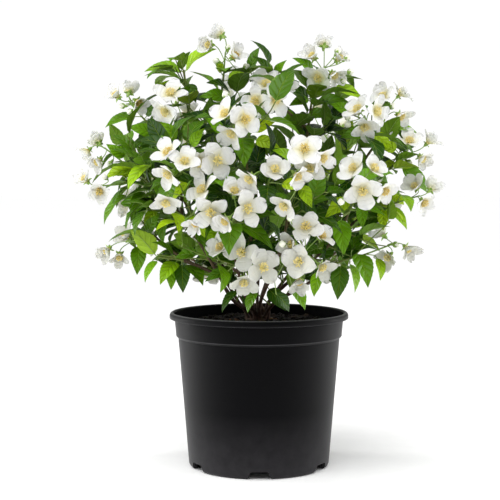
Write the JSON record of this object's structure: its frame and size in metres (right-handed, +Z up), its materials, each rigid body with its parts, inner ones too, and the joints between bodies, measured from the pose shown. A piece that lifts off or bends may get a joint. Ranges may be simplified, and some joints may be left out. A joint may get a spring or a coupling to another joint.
{
  "type": "potted mock orange",
  "caption": "Mock orange shrub in a round plastic nursery pot: brown canes rise from a crown in the soil and carry pointed green leaves and sprays of open white flowers and buds.",
  "frame": {"origin": "centre of the pot's foot on the floor, on the pot's axis and below the middle of the whole bush", "axes": "+Z up along the pot's axis, -Y towards the front that the picture shows, +X to that view's right"},
  "size_m": [0.5273, 0.475, 0.6363],
  "materials": {
    "pot": "satin, near black with a violet cast",
    "soil": "rough, moist peat and bark",
    "bark": "rough, dark reddish brown",
    "leaf": "satin, mid green",
    "flower": "soft, white"
  },
  "bodies": {
    "root": {"flower_spray_01": "flower", "flower_spray_02": "flower", "flower_spray_03": "flower", "flower_spray_04": "flower", "flower_spray_05": "flower", "flower_spray_06": "flower", "flower_spray_07": "flower", "flower_spray_08": "flower", "flower_spray_09": "flower", "flower_spray_10": "flower", "flower_spray_11": "flower", "flower_spray_12": "flower", "flower_spray_13": "flower", "flower_spray_14": "flower", "flower_spray_15": "flower", "flower_spray_16": "flower", "flower_spray_17": "flower", "flower_spray_18": "flower", "flower_spray_19": "flower", "flower_spray_20": "flower", "flower_spray_21": "flower", "flower_spray_22": "flower", "flower_spray_23": "flower", "flower_spray_24": "flower", "flower_spray_25": "flower", "flower_spray_26": "flower", "flower_spray_27": "flower", "flower_spray_28": "flower", "flower_spray_29": "flower", "flower_spray_30": "flower", "flower_spray_31": "flower", "leafy_shoot_01": "leaf", "leafy_shoot_02": "leaf", "leafy_shoot_03": "leaf", "leafy_shoot_04": "leaf", "leafy_shoot_05": "leaf", "leafy_shoot_06": "leaf", "leafy_shoot_07": "leaf", "leafy_shoot_08": "leaf", "leafy_shoot_09": "leaf", "leafy_shoot_10": "leaf", "leafy_shoot_11": "leaf", "leafy_shoot_12": "leaf", "leafy_shoot_13": "leaf", "leafy_shoot_14": "leaf", "leafy_shoot_15": "leaf", "leafy_shoot_16": "leaf", "leafy_shoot_17": "leaf", "leafy_shoot_18": "leaf", "leafy_shoot_19": "leaf", "leafy_shoot_20": "leaf", "leafy_shoot_21": "leaf", "leafy_shoot_22": "leaf", "leafy_shoot_23": "leaf", "leafy_shoot_24": "leaf", "leafy_shoot_25": "leaf", "leafy_shoot_26": "leaf", "pot": "pot", "soil": "soil", "woody_stems": "bark"}
  },
  "joints": []
}
